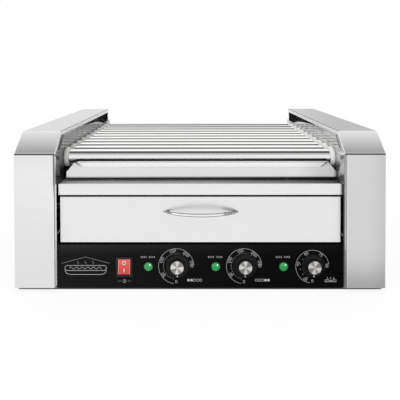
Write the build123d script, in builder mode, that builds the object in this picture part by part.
from build123d import *
import math
import os

# Counter-top hot dog roller grill. Millimetres. +X is the operator's right, -Y is the
# front, +Z is up. The origin is the centre of the footprint, on the counter.

os.makedirs("parts", exist_ok=True)

# ---- driving dimensions -------------------------------------------------------------
T = 1.0                      # stainless sheet
RUN_GAP = 0.05               # radial running clearance
WIDTH = 580.0                # over both side covers
DEPTH = 450.0                # side covers, front to back
FRONT_Y, REAR_Y = -DEPTH / 2, DEPTH / 2

FOOT_H = 3.0
PAN_Z = FOOT_H               # underside of the base pan
PAN_TOP_Z = PAN_Z + T        # upper face of the pan floor

COVER_BOTTOM = 8.0
COVER_FRONT_H = 209.5        # upright front of a side cover
SLANT_H, SLANT_D = 31.5, 36.5
SLOPE = SLANT_H / SLANT_D
SHOULDER_Z = COVER_BOTTOM + COVER_FRONT_H
COVER_TOP = SHOULDER_Z + SLANT_H
COVER_OUT = WIDTH / 2
COVER_IN = 226.6             # inner edge of a side cover

PLATE_X = 222.0              # inner face of a side plate
PLATE_T = 1.2
PLATE_OUT = PLATE_X + PLATE_T
BAY_HALF = PLATE_X - 0.1     # half width of a sheet that fits between the side plates

N_ROLLERS = 11
ROLLER_R = 12.5
ROLLER_PITCH = 35.0
ROLLER_Z = 205.0
ROLLER_YS = [(i - (N_ROLLERS - 1) / 2) * ROLLER_PITCH for i in range(N_ROLLERS)]
ROLLER_SITES = [(y, ROLLER_Z) for y in ROLLER_YS]
HALF_SPAN = ROLLER_YS[-1]    # centre line to the last roller
BUSH_NECK_R = 13.6

FACE_Y = -213.0              # front face of drawer and deck flange
DECK_BOTTOM, DECK_TOP = 150.8, 169.0
PANEL_Y = -214.0             # front face of the control panel
REAR_PANEL_Y = 217.0         # front face of the rear panel

COVER_SCREW_X, COVER_SCREW_ZS = 258, (60, 190)
LEFT_SCREW_SITES = [(-COVER_SCREW_X, z) for z in COVER_SCREW_ZS]
PANEL_SCREW_SITES = [(-143, -207), (0.5, -207), (144, -207)]
CORD_R = 3.75
CORD_X, CORD_Z = 180.0, 34.0  # where the cord passes the rear panel


def at_y(y):
    """Upright plane at depth y, local x = X, local y = Z, facing the front."""
    return Plane.XZ.offset(-y)


def at_x(x):
    """Upright plane at x, local x = Y, local y = Z, facing +X."""
    return Plane.YZ.offset(x)


def at_z(z):
    """Level plane at height z, facing up."""
    return Plane.XY.offset(z)


def save(builder, name):
    """Label a piece and write its STEP file."""
    builder.part.label = name
    export_step(builder.part, f"parts/{name}.step")


def save_pair(left_piece, name):
    """Write a left-hand piece and its mirror image."""
    save(left_piece, f"left_{name}")
    with BuildPart() as right_piece:
        mirror(left_piece.part, about=Plane.YZ)
    save(right_piece, f"right_{name}")


def cover_outline(inset_front=0.0, inset_top=0.0, inset_rear=0.0, bottom=COVER_BOTTOM):
    """Side profile (Y, Z) of a cover, pulled in from its outer faces."""
    drop = inset_top * math.hypot(1.0, SLOPE)
    y_front = FRONT_Y + inset_front
    z_low = SHOULDER_Z + inset_front * SLOPE - drop
    z_top = COVER_TOP - inset_top
    y_bend = FRONT_Y + (z_top + drop - SHOULDER_Z) / SLOPE
    y_rear = REAR_Y - inset_rear
    return [
        (y_front, bottom), (y_front, z_low), (y_bend, z_top), (y_rear, z_top), (y_rear, bottom),
    ]


# ---- side covers: folded shells, open below, with a return flange on the inner edge --
BEND_R = 2.0
FRONT_FLANGE_D, REAR_FLANGE_D = 11.0, 8.8
LIP_D = 8.0                  # depth of the return under the top and slant
FLANGE_INSET = 0.3           # flange outline inside the outer faces

with BuildPart() as left_cover:
    with BuildSketch(at_x(-COVER_OUT)):
        with BuildLine():
            Polyline(*cover_outline(), close=True)
        make_face()
    extrude(amount=COVER_OUT - COVER_IN)
    bends = left_cover.edges().filter_by(
        lambda e: e.center().Z > COVER_BOTTOM + 1 and e.center().X < -COVER_IN - 1
    )
    fillet(bends, radius=BEND_R)
    bottom_face = left_cover.faces().sort_by(Axis.Z)[0]
    inner_face = left_cover.faces().sort_by(Axis.X)[-1]
    offset(amount=-T, openings=[bottom_face, inner_face])
    with BuildSketch(at_x(-COVER_IN - T)):
        with BuildLine():
            Polyline(*cover_outline(FLANGE_INSET, FLANGE_INSET, FLANGE_INSET), close=True)
        make_face()
        with BuildLine():
            Polyline(
                *cover_outline(FRONT_FLANGE_D, LIP_D, REAR_FLANGE_D, COVER_BOTTOM - 1),
                close=True,
            )
        make_face(mode=Mode.SUBTRACT)
    extrude(amount=T)
    with BuildSketch(at_y(REAR_Y + 1)):
        with Locations(*LEFT_SCREW_SITES):
            Circle(1.7)
    extrude(amount=6, mode=Mode.SUBTRACT)
save_pair(left_cover, "cover")

# ---- side plates: carry the roller bushes; the rear top corner is cut away ----------
PLATE_INSET = 6.0            # below the top and slant of the cover
PLATE_FRONT = -212.0         # above the deck; a flare carries on to the cover
PLATE_FRONT_LOW = -199.0     # behind the drawer and panel
PLATE_REAR = 216.0
PLATE_BOTTOM = 4.0
PLATE_STEP_Z = DECK_TOP + 1  # where the front edge steps forward, over the deck
CUT_REAR = (140, 223)        # ends of the curved cut at the top (Y, Z), and its middle
CUT_MIDDLE = [(74, 233.5), (-10, 239.5)]
CUT_FRONT_Y = -60
FLARE_TOP = 216.0
TOP_RETURN_W = 4.4           # outward return along slant and top
REAR_FLANGE_W, REAR_FLANGE_H, REAR_FLANGE_Z = 41, 196, 112

_, (_, plate_low), (bend_y, plate_top), _, _ = cover_outline(
    PLATE_FRONT - FRONT_Y, PLATE_INSET
)
with BuildPart() as left_side_plate:
    with BuildSketch(at_x(-PLATE_OUT)):
        with BuildLine():
            Polyline(
                (CUT_FRONT_Y, plate_top), (bend_y, plate_top), (PLATE_FRONT, plate_low),
                (PLATE_FRONT, PLATE_STEP_Z), (PLATE_FRONT_LOW, PLATE_STEP_Z),
                (PLATE_FRONT_LOW, PLATE_BOTTOM), (PLATE_REAR, PLATE_BOTTOM),
                (PLATE_REAR, CUT_REAR[1]), CUT_REAR,
            )
            Spline(CUT_REAR, *CUT_MIDDLE, (CUT_FRONT_Y, plate_top))
        make_face()
        with Locations(*ROLLER_SITES):
            Circle(BUSH_NECK_R + RUN_GAP, mode=Mode.SUBTRACT)
    extrude(amount=PLATE_T)
    # rear flange, turned outward
    with BuildSketch(at_y(PLATE_REAR)):
        with Locations((-(PLATE_X + REAR_FLANGE_W / 2), REAR_FLANGE_Z)):
            Rectangle(REAR_FLANGE_W, REAR_FLANGE_H)
    extrude(amount=PLATE_T)
    # front flare, running forward and outward
    with BuildSketch(at_z(PLATE_STEP_Z)):
        Polygon(
            (-PLATE_X, PLATE_FRONT + 0.2), (-PLATE_X - 3.4, -221.5), (-PLATE_X - 4.5, -221.1),
            (-PLATE_OUT, PLATE_FRONT + 0.2), align=None,
        )
    extrude(amount=FLARE_TOP - PLATE_STEP_Z)
    # return along the slant and top
    with BuildSketch(at_x(-PLATE_X - TOP_RETURN_W)):
        with BuildLine():
            Polyline(
                (PLATE_FRONT, plate_low), (bend_y, plate_top), (CUT_FRONT_Y, plate_top),
                (CUT_FRONT_Y, plate_top - PLATE_T), (bend_y + 0.4, plate_top - PLATE_T),
                (PLATE_FRONT, plate_low - 1.5), close=True,
            )
        make_face()
    extrude(amount=TOP_RETURN_W)
    with BuildSketch(at_y(PLATE_REAR + 2)):
        with Locations(*LEFT_SCREW_SITES):
            Circle(1.65)
    extrude(amount=6, mode=Mode.SUBTRACT)
save_pair(left_side_plate, "side_plate")

# ---- roller bushes: flange inside the plate, neck through it -------------------------
BUSH_IN, BUSH_OUT, BUSH_END = 214.3, 221.9, 232.5   # flange faces and neck end
BUSH_R = 16.0
BUSH_EDGE_R = 1.6

with BuildPart() as left_bushes:
    with BuildSketch(at_x(-BUSH_OUT)):
        with Locations(*ROLLER_SITES):
            Circle(BUSH_R)
    extrude(amount=BUSH_OUT - BUSH_IN)
    fillet(left_bushes.edges().filter_by(GeomType.CIRCLE), radius=BUSH_EDGE_R)
    with BuildSketch(at_x(-BUSH_END)):
        with Locations(*ROLLER_SITES):
            Circle(BUSH_NECK_R)
    extrude(amount=BUSH_END - BUSH_OUT + 0.5)
    with BuildSketch(at_x(-BUSH_END - 1)):
        with Locations(*ROLLER_SITES):
            Circle(ROLLER_R + RUN_GAP)
    extrude(amount=BUSH_END - BUSH_IN + 2, mode=Mode.SUBTRACT)
save_pair(left_bushes, "bushes")

# ---- sprockets and chain run --------------------------------------------------------
TEETH = 12
TOOTH_DEG = 360.0 / TEETH
TOP_LINKS = 55               # chain links from the first roller to the last
RUN_LINKS = 28.5             # links in each straight run down to the motor
HALF_LOOP_PINS = 34          # pins from the last roller's top round to the motor
CHAIN_PITCH = 2 * HALF_SPAN / TOP_LINKS
PITCH_R = CHAIN_PITCH / (2 * math.sin(math.pi / TEETH))
TIP_R = 14.0
SEAT_R = 1.7                 # round bottom of a tooth gap
GAP_OUT_R, GAP_OUT_HALF = 15.5, 2.5   # outer end of a tooth gap, past the tips
SPROCKET_X, SPROCKET_T = 237.0, 3.0
MOTOR_Y = 0.0
MOTOR_Z = ROLLER_Z - math.sqrt((RUN_LINKS * CHAIN_PITCH) ** 2 - HALF_SPAN**2)
MOTOR_SITE = (MOTOR_Y, MOTOR_Z)


def tooth_gaps(centre_y, centre_z, phase_deg):
    """Seat centre and flank outline of every tooth gap of one sprocket."""
    seats, flanks = [], []
    for k in range(TEETH):
        angle = math.radians(phase_deg + k * TOOTH_DEG)
        cos_a, sin_a = math.cos(angle), math.sin(angle)

        def point(radius, side):
            return (
                centre_y + radius * cos_a - side * sin_a,
                centre_z + radius * sin_a + side * cos_a,
            )

        seats.append(point(PITCH_R, 0))
        flanks.append([
            point(PITCH_R, -SEAT_R), point(GAP_OUT_R, -GAP_OUT_HALF),
            point(GAP_OUT_R, GAP_OUT_HALF), point(PITCH_R, SEAT_R),
        ])
    return seats, flanks


# ---- rollers: tube with its drive sprocket pressed in at the right-hand end ---------
ROLLER_END = 234.0
TUBE_IN_R = ROLLER_R - 1.5   # inside the tube wall
HUB_R, HUB_BORE_R = 9.0, 6.0
PLUG_L = 9                   # part of the hub inside the tube

for i, roller_y in enumerate(ROLLER_YS):
    with BuildPart() as roller:
        with BuildSketch(at_x(-ROLLER_END)):
            with Locations((roller_y, ROLLER_Z)):
                Circle(ROLLER_R)
                Circle(TUBE_IN_R, mode=Mode.SUBTRACT)
        extrude(amount=2 * ROLLER_END)
        chamfer(
            roller.edges().filter_by(
                lambda e: e.geom_type == GeomType.CIRCLE and e.radius > ROLLER_R - 0.1
            ),
            length=0.5,
        )
        with BuildSketch(at_x(ROLLER_END - PLUG_L)):
            with Locations((roller_y, ROLLER_Z)):
                Circle(TUBE_IN_R - 0.02)
                Circle(HUB_BORE_R, mode=Mode.SUBTRACT)
        extrude(amount=PLUG_L)
        with BuildSketch(at_x(ROLLER_END)):
            with Locations((roller_y, ROLLER_Z)):
                Circle(HUB_R)
                Circle(HUB_BORE_R, mode=Mode.SUBTRACT)
        extrude(amount=SPROCKET_X - ROLLER_END)
        with BuildSketch(at_x(SPROCKET_X)):
            with Locations((roller_y, ROLLER_Z)):
                Circle(TIP_R)
                Circle(HUB_BORE_R, mode=Mode.SUBTRACT)
            # a roller pitch is 5.5 links, so every other sprocket is turned half a tooth
            seats, flanks = tooth_gaps(roller_y, ROLLER_Z, 0.0 if i % 2 == 0 else TOOTH_DEG / 2)
            with Locations(*seats):
                Circle(SEAT_R, mode=Mode.SUBTRACT)
            for flank in flanks:
                Polygon(*flank, align=None, mode=Mode.SUBTRACT)
        extrude(amount=SPROCKET_T)
    save(roller, f"roller_{i + 1:02d}")

# ---- motor sprocket, with hub and shaft ---------------------------------------------
SHAFT_R = 4.0
SHAFT_IN, SHAFT_OUT = 234.0, 246.0
MOTOR_HUB_R = 7.5

with BuildPart() as motor_sprocket:
    with BuildSketch(at_x(SPROCKET_X)):
        with Locations(MOTOR_SITE):
            Circle(TIP_R)
        seats, flanks = tooth_gaps(MOTOR_Y, MOTOR_Z, TOOTH_DEG / 2)
        with Locations(*seats):
            Circle(SEAT_R, mode=Mode.SUBTRACT)
        for flank in flanks:
            Polygon(*flank, align=None, mode=Mode.SUBTRACT)
    extrude(amount=SPROCKET_T)
    with BuildSketch(at_x(SHAFT_IN)):
        with Locations(MOTOR_SITE):
            Circle(MOTOR_HUB_R)
    extrude(amount=SPROCKET_X - SHAFT_IN)
    with BuildSketch(at_x(SHAFT_IN)):
        with Locations(MOTOR_SITE):
            Circle(SHAFT_R)
    extrude(amount=SHAFT_OUT - SHAFT_IN)
save(motor_sprocket, "motor_sprocket")

# ---- gear motor: gearbox, then the round motor outside it ---------------------------
GEARBOX_X, GEARBOX_L = 244.0, 20
GEARBOX_Z = MOTOR_Z - 6      # the body hangs below its shaft
MOTOR_R, MOTOR_L = 19, 21

with BuildPart() as gear_motor:
    with BuildSketch(at_x(GEARBOX_X)):
        with Locations((MOTOR_Y, GEARBOX_Z)):
            RectangleRounded(52, 44, 8)
    extrude(amount=GEARBOX_L)
    with BuildSketch(at_x(GEARBOX_X + GEARBOX_L)):
        with Locations((MOTOR_Y, GEARBOX_Z)):
            Circle(MOTOR_R)
    extrude(amount=MOTOR_L)
    with BuildSketch(at_x(GEARBOX_X - 1)):
        with Locations(MOTOR_SITE):
            Circle(SHAFT_R + RUN_GAP)
    extrude(amount=6, mode=Mode.SUBTRACT)
save(gear_motor, "gear_motor")

# ---- motor bracket: upright plate and two arms back to the side plate ---------------
BRACKET_X, BRACKET_T, BRACKET_SIZE = 242.4, 1.5, 56
BRACKET_ARM_W = 50
BRACKET_OUT = BRACKET_X + BRACKET_T

with BuildPart() as motor_bracket:
    with BuildSketch(at_x(BRACKET_X)):
        with Locations(MOTOR_SITE):
            Rectangle(BRACKET_SIZE, BRACKET_SIZE)
            Circle(6.0, mode=Mode.SUBTRACT)
    extrude(amount=BRACKET_T)
    for z in (MOTOR_Z + BRACKET_SIZE / 2 - BRACKET_T, MOTOR_Z - BRACKET_SIZE / 2):
        with BuildSketch(at_z(z)):
            with Locations(((PLATE_OUT + BRACKET_OUT) / 2, MOTOR_Y)):
                Rectangle(BRACKET_OUT - PLATE_OUT, BRACKET_ARM_W)
        extrude(amount=BRACKET_T)
save(motor_bracket, "motor_bracket")

# ---- chain: two rows of side plates joined by pins that stand in the tooth gaps -----
LINK_XS, LINK_T = (235.9, 240.3), 0.8
LINK_HALF_H = 2.2
PIN_R = 1.0


def on_pitch_circle(centre_y, centre_z, angle_deg):
    """Point (Y, Z) at an angle on a sprocket's pitch circle."""
    angle = math.radians(angle_deg)
    return (centre_y + PITCH_R * math.cos(angle), centre_z + PITCH_R * math.sin(angle))


def chain_pins():
    """Pin centres (Y, Z): the top run, then both halves of the loop down to the motor."""
    drop = ROLLER_Z - MOTOR_Z
    run_length = math.hypot(HALF_SPAN, drop)
    # angle at which the chain leaves the last roller and meets the motor sprocket
    leave_deg = math.degrees(math.atan2(-HALF_SPAN / run_length, drop / run_length))
    wrap = (90.0 - leave_deg) / TOOTH_DEG      # links round the last roller
    leave_y, leave_z = on_pitch_circle(HALF_SPAN, ROLLER_Z, leave_deg)
    pins = [(-HALF_SPAN + k * CHAIN_PITCH, ROLLER_Z + PITCH_R) for k in range(TOP_LINKS + 1)]
    for k in range(1, HALF_LOOP_PINS + 1):
        if k <= wrap:
            y, z = on_pitch_circle(HALF_SPAN, ROLLER_Z, 90.0 - k * TOOTH_DEG)
        elif k <= wrap + RUN_LINKS:
            run = (k - wrap) * CHAIN_PITCH
            y = leave_y - run * HALF_SPAN / run_length
            z = leave_z - run * drop / run_length
        else:
            past = k - wrap - RUN_LINKS
            y, z = on_pitch_circle(MOTOR_Y, MOTOR_Z, leave_deg - past * TOOTH_DEG)
        pins += [(y, z), (-y, z)]
    return pins


# triangle through the outer roller centres and the motor centre
CHAIN_TRIANGLE = [(-HALF_SPAN, ROLLER_Z), (HALF_SPAN, ROLLER_Z), MOTOR_SITE]

with BuildPart() as drive_chain:
    for x in LINK_XS:
        with BuildSketch(at_x(x)):
            with BuildLine():
                Polyline(*CHAIN_TRIANGLE, close=True)
            make_face()
            offset(amount=PITCH_R + LINK_HALF_H, kind=Kind.ARC)
            with BuildSketch(at_x(x), mode=Mode.PRIVATE) as inside:
                with BuildLine():
                    Polyline(*CHAIN_TRIANGLE, close=True)
                make_face()
                offset(amount=PITCH_R - LINK_HALF_H, kind=Kind.ARC)
            add(inside.sketch_local, mode=Mode.SUBTRACT)
        extrude(amount=LINK_T)
    with BuildSketch(at_x(LINK_XS[0])):
        with Locations(*chain_pins()):
            Circle(PIN_R)
    extrude(amount=LINK_XS[1] - LINK_XS[0] + LINK_T)
save(drive_chain, "drive_chain")

# ---- heating rods, one inside each roller, carried by a bar on each side ------------
ROD_R, ROD_END = 4.0, 250.0
BAR_X, BAR_T = 246.0, 1.5
BAR_L, BAR_H = 394, 18
BAR_OUT = BAR_X + BAR_T

with BuildPart() as heating_rods:
    with BuildSketch(at_x(-ROD_END)):
        with Locations(*ROLLER_SITES):
            Circle(ROD_R)
    extrude(amount=2 * ROD_END)
save(heating_rods, "heating_rods")

with BuildPart() as rod_bars:
    for side in (-1, 1):
        with BuildSketch(at_x(BAR_X * side)):
            with Locations((0, ROLLER_Z)):
                Rectangle(BAR_L, BAR_H)
            with Locations(*ROLLER_SITES):
                Circle(ROD_R + RUN_GAP, mode=Mode.SUBTRACT)
        extrude(amount=BAR_T * side)
        # end arms, back to the side plate
        with BuildSketch(at_z(ROLLER_Z - BAR_H / 2)):
            with Locations(*[(side * (PLATE_OUT + BAR_OUT) / 2, y) for y in (-BAR_L / 2, BAR_L / 2)]):
                Rectangle(BAR_OUT - PLATE_OUT, BAR_T)
        extrude(amount=BAR_H)
save(rod_bars, "rod_bars")

# ---- base pan: tray open at the front middle, where a tongue reaches the panel ------
PAN_H = 12.0
PAN_HALF, PAN_TONGUE_HALF = 287, 230.5
PAN_FRONT, PAN_REAR = -206, 222
PAN_TONGUE_Y = -212.8


def pan_outline(inset, tongue_y):
    """Plan outline of the pan, pulled in by inset except at the end of the tongue."""
    half, tongue_half = PAN_HALF - inset, PAN_TONGUE_HALF - inset
    front, rear = PAN_FRONT + inset, PAN_REAR - inset
    return [
        (-half, front), (-tongue_half, front), (-tongue_half, tongue_y), (tongue_half, tongue_y),
        (tongue_half, front), (half, front), (half, rear), (-half, rear),
    ]


with BuildPart() as base_pan:
    with BuildSketch(at_z(PAN_Z)):
        with BuildLine():
            Polyline(*pan_outline(0, PAN_TONGUE_Y), close=True)
        make_face()
    extrude(amount=PAN_H)
    with BuildSketch(at_z(PAN_TOP_Z)):
        with BuildLine():
            Polyline(*pan_outline(T, PAN_TONGUE_Y - 0.1), close=True)
        make_face()
    extrude(amount=PAN_H, mode=Mode.SUBTRACT)
    with BuildSketch(at_z(PAN_Z - 1)):
        with Locations(*PANEL_SCREW_SITES):
            Circle(1.6)
    extrude(amount=4, mode=Mode.SUBTRACT)
    # two notches in the rear wall
    with BuildSketch(at_z(PAN_Z + 4)):
        with Locations((-228, PAN_REAR - T / 2), (228, PAN_REAR - T / 2)):
            Rectangle(3.0, 3.0)
    extrude(amount=PAN_H, mode=Mode.SUBTRACT)
save(base_pan, "base_pan")

FOOT_R, FOOT_X, FOOT_Y = 13, 250, 190

with BuildPart() as rubber_feet:
    with BuildSketch(at_z(0)):
        with Locations(*[(x, y) for y in (-FOOT_Y, FOOT_Y) for x in (-FOOT_X, FOOT_X)]):
            Circle(FOOT_R)
    extrude(amount=FOOT_H)
    chamfer(rubber_feet.edges().group_by(Axis.Z)[0], length=0.8)
save(rubber_feet, "rubber_feet")

# ---- rear panel, with vent slots, cord hole and a top flange ------------------------
REAR_PANEL_W = 452.8
REAR_PANEL_BOTTOM, REAR_PANEL_TOP = 4.0, 200.0
REAR_LIP_D = 8
VENT_SITES = [(x, z) for x in (-120, 0, 120) for z in (120, 132, 144, 156)]

with BuildPart() as rear_panel:
    with BuildSketch(at_y(REAR_PANEL_Y + T)):
        with Locations((0, (REAR_PANEL_BOTTOM + REAR_PANEL_TOP) / 2)):
            Rectangle(REAR_PANEL_W, REAR_PANEL_TOP - REAR_PANEL_BOTTOM)
        with Locations(*VENT_SITES):
            SlotOverall(80, 5, mode=Mode.SUBTRACT)
        with Locations((CORD_X, CORD_Z)):
            Circle(7.0, mode=Mode.SUBTRACT)
    extrude(amount=T)
    with BuildSketch(at_z(REAR_PANEL_TOP - T)):
        with Locations((0, REAR_PANEL_Y + T - REAR_LIP_D / 2)):
            Rectangle(2 * (PLATE_X - 0.2), REAR_LIP_D)
    extrude(amount=T)
save(rear_panel, "rear_panel")

# ---- deck over the drawer bay, with the front flange and two tray runners -----------
DECK_HALF, DECK_X = 224.6, 0.9           # front flange: half width and centre
DECK_SHEET_FRONT, DECK_SHEET_REAR = -211.0, 213.0
DECK_LIP_D = 8                           # return at the foot of the flange
RUNNER_SITES = [(-150, 20), (150, 20)]
TRAY_Z0 = 174.8                          # underside of the drip tray

with BuildPart() as deck_plate:
    with BuildSketch(at_z(DECK_TOP - T)):
        with Locations((0, (DECK_SHEET_FRONT + DECK_SHEET_REAR) / 2)):
            Rectangle(2 * BAY_HALF, DECK_SHEET_REAR - DECK_SHEET_FRONT)
        with Locations((DECK_X, (FACE_Y + DECK_SHEET_FRONT) / 2)):
            Rectangle(2 * DECK_HALF, DECK_SHEET_FRONT - FACE_Y)
    extrude(amount=T)
    with BuildSketch(at_y(FACE_Y)):
        with Locations((DECK_X, (DECK_BOTTOM + DECK_TOP) / 2)):
            Rectangle(2 * DECK_HALF, DECK_TOP - DECK_BOTTOM)
    extrude(amount=-T)
    with BuildSketch(at_z(DECK_BOTTOM)):
        with Locations((DECK_X, FACE_Y + DECK_LIP_D / 2)):
            Rectangle(2 * DECK_HALF, DECK_LIP_D)
    extrude(amount=T)
    front_edges = deck_plate.edges().filter_by(
        lambda e: abs(e.center().Y - FACE_Y) < 0.01 and e.length > 300
    )
    fillet(front_edges, radius=0.9)
    with BuildSketch(at_z(DECK_TOP - 0.5)):
        with Locations(*RUNNER_SITES):
            SlotOverall(350, 8, rotation=90)
    extrude(amount=TRAY_Z0 - 0.2 - DECK_TOP + 0.5)
save(deck_plate, "deck_plate")

# ---- drip tray: shallow pan, front corners stand up as ears, front lip leans back ---
TRAY_HALF = 218.2
TRAY_X = 2.8                 # the tray sits a little to the right in its bay
TRAY_LEFT, TRAY_RIGHT = TRAY_X - TRAY_HALF, TRAY_X + TRAY_HALF
TRAY_Y0, TRAY_Y1 = -197.0, 200.0
TRAY_FOLD_Z, TRAY_EAR_Z = 191.5, 199.5
TRAY_CORNER_Z = 184.0        # where the front wall starts to slope in to the ear
TRAY_WALL_H = 10.5           # side and rear walls
LIP_IN = 26                  # from the tray's side to the foot of the lip
TRAY_MID_Y, TRAY_L = (TRAY_Y0 + TRAY_Y1) / 2, TRAY_Y1 - TRAY_Y0

with BuildPart() as drip_tray:
    # lip: front outline, cut down to a thin leaning strip
    with BuildSketch(at_y(TRAY_Y0)):
        with BuildLine():
            Polyline(
                (TRAY_LEFT + LIP_IN, TRAY_FOLD_Z), (TRAY_RIGHT - LIP_IN, TRAY_FOLD_Z),
                (TRAY_RIGHT - 14, TRAY_EAR_Z + 1), (TRAY_LEFT + 14, TRAY_EAR_Z + 1),
                close=True,
            )
        make_face()
    extrude(amount=-14)
    with BuildSketch(at_x(-260)):
        with BuildLine():
            Polyline(
                (TRAY_Y0, TRAY_FOLD_Z - 0.4), (TRAY_Y0 + 3.0, TRAY_FOLD_Z + 8.0),
                (TRAY_Y0 + 4.0, TRAY_FOLD_Z + 7.6), (TRAY_Y0 + 1.0, TRAY_FOLD_Z - 0.8),
                close=True,
            )
        make_face()
    extrude(amount=520, mode=Mode.INTERSECT)
    # front wall with its ears
    with BuildSketch(at_y(TRAY_Y0)):
        with BuildLine():
            Polyline(
                (TRAY_LEFT, TRAY_Z0), (TRAY_RIGHT, TRAY_Z0), (TRAY_RIGHT, TRAY_CORNER_Z),
                (TRAY_RIGHT - 13, TRAY_EAR_Z), (TRAY_RIGHT - LIP_IN, TRAY_FOLD_Z),
                (TRAY_LEFT + LIP_IN, TRAY_FOLD_Z), (TRAY_LEFT + 13, TRAY_EAR_Z),
                (TRAY_LEFT, TRAY_CORNER_Z), close=True,
            )
        make_face()
    extrude(amount=-T)
    with BuildSketch(at_z(TRAY_Z0)):
        with Locations((TRAY_X, TRAY_MID_Y)):
            Rectangle(2 * TRAY_HALF, TRAY_L)
    extrude(amount=T)
    for x in (TRAY_LEFT + T / 2, TRAY_RIGHT - T / 2):
        with BuildSketch(at_z(TRAY_Z0)):
            with Locations((x, TRAY_MID_Y)):
                Rectangle(T, TRAY_L)
        extrude(amount=TRAY_WALL_H)
    with BuildSketch(at_z(TRAY_Z0)):
        with Locations((TRAY_X, TRAY_Y1 - T / 2)):
            Rectangle(2 * TRAY_HALF, T)
    extrude(amount=TRAY_WALL_H)
save(drip_tray, "drip_tray")

# ---- bun drawer ---------------------------------------------------------------------
DRAWER_HALF = 222.6
DRAWER_X = 1.1               # the drawer front sits a little to the right
DRAWER_BOTTOM, DRAWER_TOP = 75.2, 148.4
DRAWER_FRONT_D = 12
BOX_HALF, BOX_FRONT, BOX_BACK = 203.0, -201.0, 185.0
BOX_BOTTOM, BOX_TOP = 78.0, 140.0
HANDLE_X, HANDLE_Z = 2.0, 124.0
HANDLE_HALF, HANDLE_OUT, HANDLE_H = 60.0, 25.0, 5.0
HANDLE_FOOT, HANDLE_T = 14, 3.2          # width of each foot, thickness at the middle
HANDLE_SCREW_SITES = [(HANDLE_X - 52, HANDLE_Z), (HANDLE_X + 52, HANDLE_Z)]

with BuildPart() as drawer_front:
    with BuildSketch(at_y(FACE_Y)):
        with Locations((DRAWER_X, (DRAWER_BOTTOM + DRAWER_TOP) / 2)):
            Rectangle(2 * DRAWER_HALF, DRAWER_TOP - DRAWER_BOTTOM)
    extrude(amount=-DRAWER_FRONT_D)
    rim = drawer_front.faces().sort_by(Axis.Y)[0].edges()
    fillet(rim, radius=1.2)
    back = drawer_front.faces().sort_by(Axis.Y)[-1]
    offset(amount=-T, openings=[back])
    with BuildSketch(at_y(FACE_Y - 1)):
        with Locations(*HANDLE_SCREW_SITES):
            Circle(2.05)
    extrude(amount=-4, mode=Mode.SUBTRACT)
save(drawer_front, "drawer_front")

with BuildPart() as drawer_box:
    with BuildSketch(at_z(BOX_BOTTOM)):
        with Locations((0, (BOX_BACK + BOX_FRONT) / 2)):
            Rectangle(2 * BOX_HALF, BOX_BACK - BOX_FRONT)
    extrude(amount=BOX_TOP - BOX_BOTTOM)
    top_face = drawer_box.faces().sort_by(Axis.Z)[-1]
    offset(amount=-T, openings=[top_face])
save(drawer_box, "drawer_box")

with BuildPart() as drawer_handle:
    with BuildSketch(at_z(HANDLE_Z - HANDLE_H / 2)):
        with BuildLine():
            left, right = HANDLE_X - HANDLE_HALF, HANDLE_X + HANDLE_HALF
            left_in, right_in = left + HANDLE_FOOT, right - HANDLE_FOOT
            ThreePointArc((left, FACE_Y), (HANDLE_X, FACE_Y - HANDLE_OUT), (right, FACE_Y))
            Line((right, FACE_Y), (right_in, FACE_Y))
            ThreePointArc(
                (right_in, FACE_Y), (HANDLE_X, FACE_Y - HANDLE_OUT + HANDLE_T), (left_in, FACE_Y)
            )
            Line((left_in, FACE_Y), (left, FACE_Y))
        make_face()
    extrude(amount=HANDLE_H)
save(drawer_handle, "drawer_handle")

with BuildPart() as handle_screws:
    with BuildSketch(at_y(FACE_Y)):
        with Locations(*HANDLE_SCREW_SITES):
            Circle(2.0)
    extrude(amount=-6)
    # heads, behind the drawer front
    with BuildSketch(at_y(FACE_Y + T)):
        with Locations(*HANDLE_SCREW_SITES):
            Circle(3.8)
    extrude(amount=-2.4)
save(handle_screws, "handle_screws")

# ---- telescopic slides: a channel on each side plate, a smaller one on the box ------
SLIDE_Z, SLIDE_T = 112.5, 1.2


def channel_pair(web_x, opening, width, height, front_y, length):
    """Mirrored channels; opening is +1 away from the centre line, -1 towards it."""
    centre_x = web_x + opening * width / 2
    with BuildPart() as channels:
        for side in (-1, 1):
            with BuildSketch(at_y(front_y)):
                with Locations((side * centre_x, SLIDE_Z)):
                    Rectangle(width, height)
                with Locations((side * (centre_x + opening * SLIDE_T), SLIDE_Z)):
                    Rectangle(width, height - 2 * SLIDE_T, mode=Mode.SUBTRACT)
            extrude(amount=-length)
    return channels


save(
    channel_pair(PLATE_X, opening=-1, width=17, height=33, front_y=-180.0, length=365),
    "cabinet_slides",
)
save(
    channel_pair(BOX_HALF, opening=1, width=16, height=26, front_y=-200.0, length=380),
    "drawer_slides",
)

# ---- warming element under the drawer floor -----------------------------------------
FLOOR_Z = 70.4               # underside of the floor
FLOOR_FRONT, FLOOR_REAR = -210.0, 213.0
ELEMENT_R, ELEMENT_BEND_R = 3.25, 30
ELEMENT_Z = 61.0
ELEMENT_YS = (-100.0, -30.0, 40.0, 110.0)
ELEMENT_END_X, ELEMENT_TURN_LEFT, ELEMENT_TURN_RIGHT = -190, -150, 170
HANGER_XS, HANGER_T = (-100.0, 100.0), 1.5
HANGER_L, HANGER_H = 240, 13.4

with BuildPart() as drawer_floor:
    with BuildSketch(at_z(FLOOR_Z)):
        with Locations((0, (FLOOR_FRONT + FLOOR_REAR) / 2)):
            Rectangle(2 * BAY_HALF, FLOOR_REAR - FLOOR_FRONT)
    extrude(amount=T)
save(drawer_floor, "drawer_floor")

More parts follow.
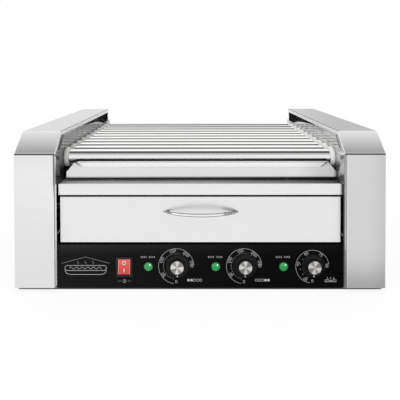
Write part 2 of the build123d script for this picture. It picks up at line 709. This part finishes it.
with BuildPart() as warming_element:
    with BuildLine() as element_path:
        FilletPolyline(
            (ELEMENT_END_X, ELEMENT_YS[0], ELEMENT_Z),
            (ELEMENT_TURN_RIGHT, ELEMENT_YS[0], ELEMENT_Z),
            (ELEMENT_TURN_RIGHT, ELEMENT_YS[1], ELEMENT_Z),
            (ELEMENT_TURN_LEFT, ELEMENT_YS[1], ELEMENT_Z),
            (ELEMENT_TURN_LEFT, ELEMENT_YS[2], ELEMENT_Z),
            (ELEMENT_TURN_RIGHT, ELEMENT_YS[2], ELEMENT_Z),
            (ELEMENT_TURN_RIGHT, ELEMENT_YS[3], ELEMENT_Z),
            (ELEMENT_END_X, ELEMENT_YS[3], ELEMENT_Z),
            radius=ELEMENT_BEND_R,
        )
    with BuildSketch(Plane(origin=element_path.line @ 0, z_dir=element_path.line % 0)):
        Circle(ELEMENT_R)
    sweep()
save(warming_element, "warming_element")

with BuildPart() as element_hangers:
    for x in HANGER_XS:
        with BuildSketch(at_x(x)):
            with Locations(((ELEMENT_YS[0] + ELEMENT_YS[-1]) / 2, FLOOR_Z - HANGER_H / 2)):
                Rectangle(HANGER_L, HANGER_H)
            with Locations(*[(y, ELEMENT_Z) for y in ELEMENT_YS]):
                Circle(ELEMENT_R + 0.1, mode=Mode.SUBTRACT)
        extrude(amount=HANGER_T)
save(element_hangers, "element_hangers")

# ---- control panel ------------------------------------------------------------------
PANEL_HALF = 226.4
PANEL_BOTTOM, PANEL_TOP = 3.0, 72.7
PANEL_TOP_D, PANEL_FOOT_D = 9, 14        # depths of the top and bottom flanges
CONTROL_Z = 37.5                         # centre line of switch and lamps
DIAL_Z = 39.2                            # the dial spindles stand a little above it
SWITCH_X = -119.5
SWITCH_SITE = (SWITCH_X, CONTROL_Z)
LAMP_SITES = [(x, CONTROL_Z) for x in (-81.4, 25.3, 132.6)]
DIAL_XS = (-35.5, 71.7, 179.8)
DIAL_SITES = [(x, DIAL_Z) for x in DIAL_XS]
SPADE_W, SPADE_H, SPADE_L = 0.8, 6.3, 8  # spade terminals

with BuildPart() as control_panel:
    with BuildSketch(at_y(PANEL_Y)):
        with Locations((0, (PANEL_BOTTOM + PANEL_TOP) / 2)):
            Rectangle(2 * PANEL_HALF, PANEL_TOP - PANEL_BOTTOM)
        with Locations(SWITCH_SITE):
            Rectangle(23.2, 28.2, mode=Mode.SUBTRACT)
        with Locations(*LAMP_SITES):
            Circle(6.1, mode=Mode.SUBTRACT)
        with Locations(*DIAL_SITES):
            Circle(4.5, mode=Mode.SUBTRACT)
    extrude(amount=-T)
    with BuildSketch(at_z(PANEL_TOP - T)):
        with Locations((0, PANEL_Y + PANEL_TOP_D / 2)):
            Rectangle(2 * PANEL_HALF, PANEL_TOP_D)
    extrude(amount=T)
    with BuildSketch(at_z(PAN_TOP_Z)):
        with Locations((0, PANEL_Y + PANEL_FOOT_D / 2)):
            Rectangle(2 * PANEL_HALF, PANEL_FOOT_D)
    extrude(amount=T)
    with BuildSketch(at_z(PAN_Z)):
        with Locations(*PANEL_SCREW_SITES):
            Circle(1.6)
    extrude(amount=4, mode=Mode.SUBTRACT)
save(control_panel, "control_panel")

# ---- screws: chamfered head, then shank ---------------------------------------------
PANEL_HEAD_Z, PANEL_HEAD_R = 1.2, 3.2
COVER_HEAD_R, COVER_HEAD_H = 3.6, 1.8
HEAD_CHAMFER = 0.7
COVER_SCREW_SITES = [(x, z) for x in (-COVER_SCREW_X, COVER_SCREW_X) for z in COVER_SCREW_ZS]

with BuildPart() as panel_screws:
    with BuildSketch(at_z(PANEL_HEAD_Z)):
        with Locations(*PANEL_SCREW_SITES):
            Circle(PANEL_HEAD_R)
    extrude(amount=PAN_Z - PANEL_HEAD_Z)
    chamfer(panel_screws.edges().group_by(Axis.Z)[0], length=HEAD_CHAMFER)
    with BuildSketch(at_z(PAN_Z)):
        with Locations(*PANEL_SCREW_SITES):
            Circle(1.55)
    extrude(amount=8)
save(panel_screws, "panel_screws")

with BuildPart() as cover_screws:
    with BuildSketch(at_y(REAR_Y)):
        with Locations(*COVER_SCREW_SITES):
            Circle(COVER_HEAD_R)
    extrude(amount=-COVER_HEAD_H)
    chamfer(cover_screws.edges().group_by(Axis.Y)[-1], length=HEAD_CHAMFER)
    with BuildSketch(at_y(REAR_Y)):
        with Locations(*COVER_SCREW_SITES):
            Circle(1.6)
    extrude(amount=12)
save(cover_screws, "cover_screws")

# ---- rocker switch: bezel and body, and a rocker that tips about X on two trunnions -
PIVOT_Y = PANEL_Y + 2.5
TRUNNION_R, TRUNNION_HALF = 1.2, 10.8
ROCKER_HALF = 9.4
TILT = math.radians(8.0)
# untipped rocker profile about its pivot: (depth, + to the rear; height)
ROCKER_PROFILE = [
    (-6.9, 11.3), (-5.3, 0), (-6.9, -11.3), (0, -11.2), (6.5, -4), (6.5, 4), (0, 11.2),
]

with BuildPart() as switch_body:
    with BuildSketch(at_y(PANEL_Y)):
        with Locations(SWITCH_SITE):
            Rectangle(25.7, 31.0)
    extrude(amount=2.6)
    fillet(switch_body.edges().group_by(Axis.Y)[0], radius=0.8)
    with BuildSketch(at_y(PANEL_Y)):
        with Locations(SWITCH_SITE):
            Rectangle(22.8, 27.8)
    extrude(amount=-20)
    with BuildSketch(at_y(PANEL_Y - 3)):
        with Locations(SWITCH_SITE):
            Rectangle(19.8, 25.4)
    extrude(amount=-19, mode=Mode.SUBTRACT)
    with BuildSketch(at_x(SWITCH_X - 11.0)):
        with Locations((PIVOT_Y, CONTROL_Z)):
            Circle(TRUNNION_R + RUN_GAP)
    extrude(amount=22.0, mode=Mode.SUBTRACT)
    for x in (-6.0, 6.0):
        with BuildSketch(at_y(PANEL_Y + 20)):
            with Locations((SWITCH_X + x, CONTROL_Z + 6), (SWITCH_X + x, CONTROL_Z - 6)):
                Rectangle(SPADE_W, SPADE_H)
        extrude(amount=-SPADE_L)
save(switch_body, "switch_body")


def tipped(depth, height):
    """Rocker profile point (Y, Z), tipped so that the upper half is pressed in."""
    cos_t, sin_t = math.cos(TILT), math.sin(TILT)
    return (
        PIVOT_Y + depth * cos_t + height * sin_t,
        CONTROL_Z - depth * sin_t + height * cos_t,
    )


with BuildPart() as switch_rocker:
    with BuildSketch(at_x(SWITCH_X - ROCKER_HALF)):
        with BuildLine():
            Polyline(*[tipped(*point) for point in ROCKER_PROFILE], close=True)
        make_face()
    extrude(amount=2 * ROCKER_HALF)
    with BuildSketch(at_x(SWITCH_X - TRUNNION_HALF)):
        with Locations((PIVOT_Y, CONTROL_Z)):
            Circle(TRUNNION_R)
    extrude(amount=2 * TRUNNION_HALF)
save(switch_rocker, "switch_rocker")

# ---- lamps: flanged tube and a domed lens plugged into it ---------------------------
LAMP_FLANGE_R, LAMP_FLANGE_T = 7.6, 1.2
LENS_R, LENS_H = 6.65, 2.0

with BuildPart() as lamp_bodies:
    with BuildSketch(at_y(PANEL_Y)):
        with Locations(*LAMP_SITES):
            Circle(LAMP_FLANGE_R)
    extrude(amount=LAMP_FLANGE_T)
    with BuildSketch(at_y(PANEL_Y)):
        with Locations(*LAMP_SITES):
            Circle(6.0)
    extrude(amount=-18)
    with BuildSketch(at_y(PANEL_Y - 2)):
        with Locations(*LAMP_SITES):
            Circle(5.6)
    extrude(amount=-16, mode=Mode.SUBTRACT)
save(lamp_bodies, "lamp_bodies")

with BuildPart() as lamp_lenses:
    with BuildSketch(at_y(PANEL_Y - LAMP_FLANGE_T)):
        with Locations(*LAMP_SITES):
            Circle(LENS_R)
    extrude(amount=LENS_H)
    fillet(lamp_lenses.edges().group_by(Axis.Y)[0], radius=1.6)
    with BuildSketch(at_y(PANEL_Y - LAMP_FLANGE_T)):
        with Locations(*LAMP_SITES):
            Circle(5.5)
    extrude(amount=-10)
save(lamp_lenses, "lamp_lenses")

# ---- thermostats: bored body, closed back and two spade terminals each --------------
SPINDLE_R = 3.0
THERMOSTAT_R, THERMOSTAT_L, THERMOSTAT_BACK_T = 17, 26, 2
THERMOSTAT_BACK_Y = PANEL_Y + T + THERMOSTAT_L

with BuildPart() as thermostats:
    with BuildSketch(at_y(PANEL_Y + T)):
        with Locations(*DIAL_SITES):
            Circle(THERMOSTAT_R)
            Circle(SPINDLE_R + RUN_GAP, mode=Mode.SUBTRACT)
    extrude(amount=-THERMOSTAT_L)
    with BuildSketch(at_y(THERMOSTAT_BACK_Y)):
        with Locations(*DIAL_SITES):
            Circle(THERMOSTAT_R)
    extrude(amount=-THERMOSTAT_BACK_T)
    with BuildSketch(at_y(THERMOSTAT_BACK_Y + THERMOSTAT_BACK_T)):
        with Locations(*[(x + side, DIAL_Z) for x in DIAL_XS for side in (-8, 8)]):
            Rectangle(SPADE_W, SPADE_H)
    extrude(amount=-SPADE_L)
save(thermostats, "thermostats")

# ---- knobs: skirt with a tapered grip, spun metal cap, round spindle ----------------
KNOB_Y = PANEL_Y - 0.5       # back of the knob
KNOB_DEPTH = 10.0            # knob back to cap face
SKIRT_R, SKIRT_H = 18.5, 3.4
GRIP_R = 13.0
CAP_PROUD, CAP_RECESS = 0.6, 1.5         # cap beyond the grip, and sunk into it
SOCKET_D = 5.0                           # spindle hole in the knob
GRIP_FRONT_Y = KNOB_Y - KNOB_DEPTH + CAP_PROUD

for i, dial_site in enumerate(DIAL_SITES):
    with BuildPart() as knob:
        with BuildSketch(at_y(KNOB_Y)):
            with Locations(dial_site):
                Circle(SKIRT_R)
        extrude(amount=SKIRT_H)
        chamfer(knob.edges().group_by(Axis.Y)[0], length=1.4)
        with BuildSketch(at_y(KNOB_Y - SKIRT_H)):
            with Locations(dial_site):
                Circle(GRIP_R)
        extrude(amount=KNOB_DEPTH - CAP_PROUD - SKIRT_H, taper=8)
        with BuildSketch(at_y(GRIP_FRONT_Y)):
            with Locations(dial_site):
                Circle(10.3)
        extrude(amount=-CAP_RECESS, mode=Mode.SUBTRACT)
        with BuildSketch(at_y(KNOB_Y)):
            with Locations(dial_site):
                Circle(SPINDLE_R)
        extrude(amount=SOCKET_D, mode=Mode.SUBTRACT)
    save(knob, f"knob_{i + 1}")

    with BuildPart() as knob_cap:
        with BuildSketch(at_y(GRIP_FRONT_Y + CAP_RECESS)):
            with Locations(dial_site):
                Circle(10.25)
        extrude(amount=CAP_RECESS + CAP_PROUD)
        fillet(knob_cap.edges().group_by(Axis.Y)[0], radius=0.5)
    save(knob_cap, f"knob_cap_{i + 1}")

    with BuildPart() as spindle:
        with BuildSketch(at_y(KNOB_Y - SOCKET_D)):
            with Locations(dial_site):
                Circle(SPINDLE_R)
        extrude(amount=-28)
    save(spindle, f"spindle_{i + 1}")

# ---- terminal block and wiring ------------------------------------------------------
BLOCK_X, BLOCK_Y = 120, 150
BLOCK_W, BLOCK_D, BLOCK_H = 60, 22, 14
BLOCK_PITCH = 14             # between ribs, and between wires
RIB_W, RIB_H = 2, 2
WIRE_R, WIRE_BEND_R = 2.2, 8
WIRE_Z, WIRE_END_Z = 12, 27
WIRE_START_Y, WIRE_CROSS_Y, WIRE_END_Y = 138, 60, -170

with BuildPart() as terminal_block:
    with BuildSketch(at_z(PAN_TOP_Z)):
        with Locations((BLOCK_X, BLOCK_Y)):
            Rectangle(BLOCK_W, BLOCK_D)
    extrude(amount=BLOCK_H)
    with BuildSketch(at_z(PAN_TOP_Z + BLOCK_H + RIB_H)):
        with Locations(*[(BLOCK_X + BLOCK_PITCH * (k - 1.5), BLOCK_Y) for k in range(4)]):
            Rectangle(RIB_W, BLOCK_D)
    extrude(amount=-RIB_H)
save(terminal_block, "terminal_block")

with BuildPart() as wiring_loom:
    for k, end_x in enumerate(DIAL_XS):
        start_x = BLOCK_X + BLOCK_PITCH * (k - 1)
        cross_y = WIRE_CROSS_Y - 14 * k
        with BuildLine() as wire_path:
            FilletPolyline(
                (start_x, WIRE_START_Y, WIRE_Z), (start_x, cross_y, WIRE_Z),
                (end_x, cross_y, WIRE_Z), (end_x, WIRE_END_Y, WIRE_Z),
                (end_x, WIRE_END_Y, WIRE_END_Z),
                radius=WIRE_BEND_R,
            )
        with BuildSketch(Plane(origin=wire_path.line @ 0, z_dir=wire_path.line % 0)):
            Circle(WIRE_R)
        sweep()
save(wiring_loom, "wiring_loom")

# ---- power cord, looped flat behind the rear panel ----------------------------------
CORD_Y = 233.87              # plane of the loops
PLUG_X, PLUG_Z = 10.0, 62    # where the cord enters the plug
PLUG_Y = CORD_Y - 4.5
PLUG_BODY_L = 36
BLADE_SPREAD = 6.3           # each blade above or below the plug's middle
# corners of the loops (X, Z), from the rear panel to the plug
CORD_LOOPS = [
    (CORD_X, CORD_Z), (CORD_X, 4.2), (-60, 4.2), (-60, 86), (120, 86), (120, 14),
    (-51, 14), (-51, PLUG_Z), (PLUG_X, PLUG_Z),
]

with BuildPart() as strain_relief:
    with BuildSketch(at_y(REAR_PANEL_Y - 5)):
        with Locations((CORD_X, CORD_Z)):
            Circle(6.9)
    extrude(amount=-6)
    with BuildSketch(at_y(REAR_PANEL_Y + T)):
        with Locations((CORD_X, CORD_Z)):
            Circle(9.5)
    extrude(amount=-3)
    with BuildSketch(at_y(REAR_PANEL_Y - 6)):
        with Locations((CORD_X, CORD_Z)):
            Circle(CORD_R + RUN_GAP)
    extrude(amount=-12, mode=Mode.SUBTRACT)
save(strain_relief, "strain_relief")

with BuildPart() as power_cord:
    with BuildLine() as cord_path:
        FilletPolyline(
            (CORD_X, 205, CORD_Z), *[(x, CORD_Y, z) for x, z in CORD_LOOPS], radius=10
        )
    with BuildSketch(Plane(origin=cord_path.line @ 0, z_dir=cord_path.line % 0)):
        Circle(CORD_R)
    sweep()
save(power_cord, "power_cord")

with BuildPart() as power_plug:
    with BuildSketch(at_x(PLUG_X)):
        with Locations((PLUG_Y, PLUG_Z)):
            RectangleRounded(16, 20, 5)
    extrude(amount=PLUG_BODY_L, taper=-1)
    with BuildSketch(at_x(PLUG_X + PLUG_BODY_L)):
        with Locations((PLUG_Y, PLUG_Z - BLADE_SPREAD), (PLUG_Y, PLUG_Z + BLADE_SPREAD)):
            Rectangle(6.3, 1.5)
    extrude(amount=16)
save(power_plug, "power_plug")
